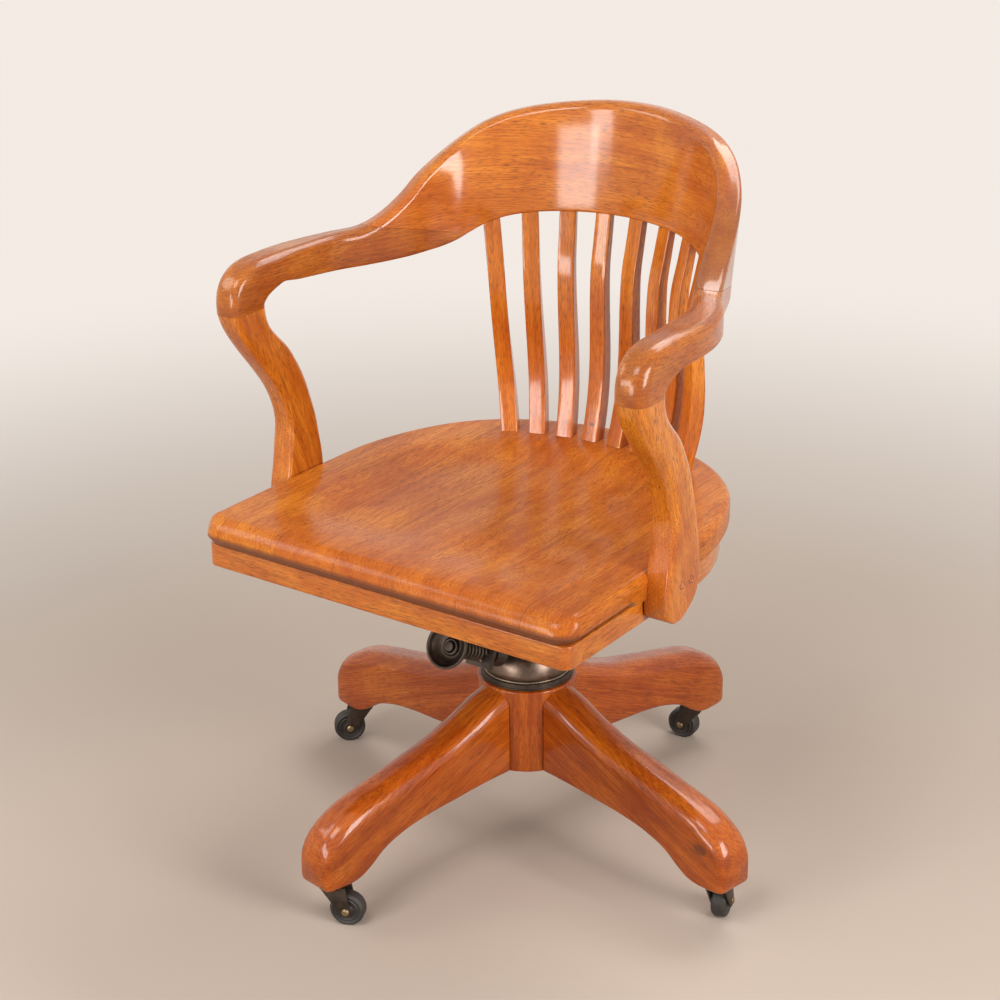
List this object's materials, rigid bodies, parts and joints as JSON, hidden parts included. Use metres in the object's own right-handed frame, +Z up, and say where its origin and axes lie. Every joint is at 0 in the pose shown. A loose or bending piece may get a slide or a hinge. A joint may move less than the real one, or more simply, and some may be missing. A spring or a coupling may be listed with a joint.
{
  "type": "bankers swivel chair",
  "caption": "Oak swivel armchair with a curved slatted back, saddled tilting seat, screw height column and a four-legged base on casters.",
  "frame": {"origin": "on the floor, under the swivel axis, at the centre of the base", "axes": "+Z up along the swivel axis; the sitter looks along -Y; +X is the sitter's left"},
  "size_m": [0.6793, 0.6764, 0.8651],
  "materials": {
    "oak": "glossy amber varnish, worn",
    "dark_iron": "dark, handled, slightly rusty",
    "aged_steel": "dull burnished",
    "aged_brass": "tarnished",
    "hard_rubber": "dusty black, satin"
  },
  "bodies": {
    "base": {"hub_post": "oak", "base_leg_1": "oak", "base_leg_2": "oak", "base_leg_3": "oak", "base_leg_4": "oak", "hub_ring": "dark_iron", "guide_tube": "aged_steel", "caster_socket_1": "dark_iron", "caster_socket_2": "dark_iron", "caster_socket_3": "dark_iron", "caster_socket_4": "dark_iron"},
    "race": {"bearing_race": "aged_steel"},
    "height nut": {"bell_nut": "aged_steel"},
    "column": {"spindle": "aged_steel", "tilt_yoke": "dark_iron", "tilt_pin": "aged_steel", "tension_rod": "aged_steel", "tension_spring": "aged_steel"},
    "seat": {"seat_iron": "dark_iron", "seat_board": "oak", "front_rail": "oak", "side_rail_left": "oak", "side_rail_right": "oak", "back_rail": "oak", "front_batten": "oak", "rear_batten": "oak", "crest_rail": "oak", "arm_left": "oak", "arm_right": "oak", "arm_post_left": "oak", "arm_post_right": "oak", "post_plug_left_1": "oak", "post_plug_left_2": "oak", "post_plug_right_1": "oak", "post_plug_right_2": "oak", "slat_1": "oak", "slat_2": "oak", "slat_3": "oak", "slat_4": "oak", "slat_5": "oak", "slat_6": "oak", "slat_7": "oak", "slat_8": "oak"},
    "washer": {"spring_washer": "aged_steel"},
    "knob": {"tension_knob": "dark_iron"},
    "caster 1": {"caster_fork_1": "dark_iron", "caster_axle_1": "aged_brass"},
    "wheel 1": {"caster_wheel_1": "hard_rubber"},
    "caster 2": {"caster_fork_2": "dark_iron", "caster_axle_2": "aged_brass"},
    "wheel 2": {"caster_wheel_2": "hard_rubber"},
    "caster 3": {"caster_fork_3": "dark_iron", "caster_axle_3": "aged_brass"},
    "wheel 3": {"caster_wheel_3": "hard_rubber"},
    "caster 4": {"caster_fork_4": "dark_iron", "caster_axle_4": "aged_brass"},
    "wheel 4": {"caster_wheel_4": "hard_rubber"}
  },
  "joints": [
    {"name": "seat_swivel", "type": "hinge", "parent": "base", "child": "race", "pos_m": [0, 0, 0.221], "axis": [0, 0, 1], "continuous": true},
    {"name": "nut_turn", "type": "hinge", "parent": "race", "child": "height nut", "pos_m": [0, 0, 0.225], "axis": [0, 0, 1], "range_deg": [-5760, 0]},
    {"name": "seat_height", "type": "slide", "parent": "race", "child": "column", "axis": [0, 0, 1], "range_m": [0, 0.08]},
    {"name": "seat_tilt", "type": "hinge", "parent": "column", "child": "seat", "pos_m": [0, -0.05, 0.359], "axis": [-1, 0, 0], "range_deg": [0, 14], "stiffness_Nm_per_rad": 70, "springref_deg": -11.46, "deforming": ["tension_spring"]},
    {"name": "knob_advance", "type": "slide", "parent": "column", "child": "washer", "axis": [0, -0.8829, 0.4695], "range_m": [-0.003, 0.006], "deforming": ["tension_spring"]},
    {"name": "knob_turn", "type": "hinge", "parent": "washer", "child": "knob", "pos_m": [0, -0.14758, 0.30329], "axis": [0, -0.8829, 0.4695], "range_deg": [-720, 1440]},
    {"name": "caster_swivel_1", "type": "hinge", "parent": "base", "child": "caster 1", "pos_m": [-0.06153, -0.30791, 0.05], "axis": [0, 0, 1], "continuous": true},
    {"name": "wheel_roll_1", "type": "hinge", "parent": "caster 1", "child": "wheel 1", "pos_m": [-0.04391, -0.30079, 0.0205], "axis": [0.3746, -0.9272, 0], "continuous": true},
    {"name": "caster_swivel_2", "type": "hinge", "parent": "base", "child": "caster 2", "pos_m": [0.30791, -0.06153, 0.05], "axis": [0, 0, 1], "continuous": true},
    {"name": "wheel_roll_2", "type": "hinge", "parent": "caster 2", "child": "wheel 2", "pos_m": [0.30332, -0.04309, 0.0205], "axis": [0.9703, 0.2419, 0], "continuous": true},
    {"name": "caster_swivel_3", "type": "hinge", "parent": "base", "child": "caster 3", "pos_m": [0.06153, 0.30791, 0.05], "axis": [0, 0, 1], "continuous": true},
    {"name": "wheel_roll_3", "type": "hinge", "parent": "caster 3", "child": "wheel 3", "pos_m": [0.04257, 0.30659, 0.0205], "axis": [-0.0698, 0.9976, 0], "continuous": true},
    {"name": "caster_swivel_4", "type": "hinge", "parent": "base", "child": "caster 4", "pos_m": [-0.30791, 0.06153, 0.05], "axis": [0, 0, 1], "continuous": true},
    {"name": "wheel_roll_4", "type": "hinge", "parent": "caster 4", "child": "wheel 4", "pos_m": [-0.32203, 0.04881, 0.0205], "axis": [-0.6691, 0.7431, 0], "continuous": true}
  ],
  "couplings": [
    {"joint": "seat_height", "follows": "nut_turn", "m_per_rad": -0.00079577},
    {"joint": "knob_advance", "follows": "knob_turn", "m_per_rad": 0.00023873}
  ]
}
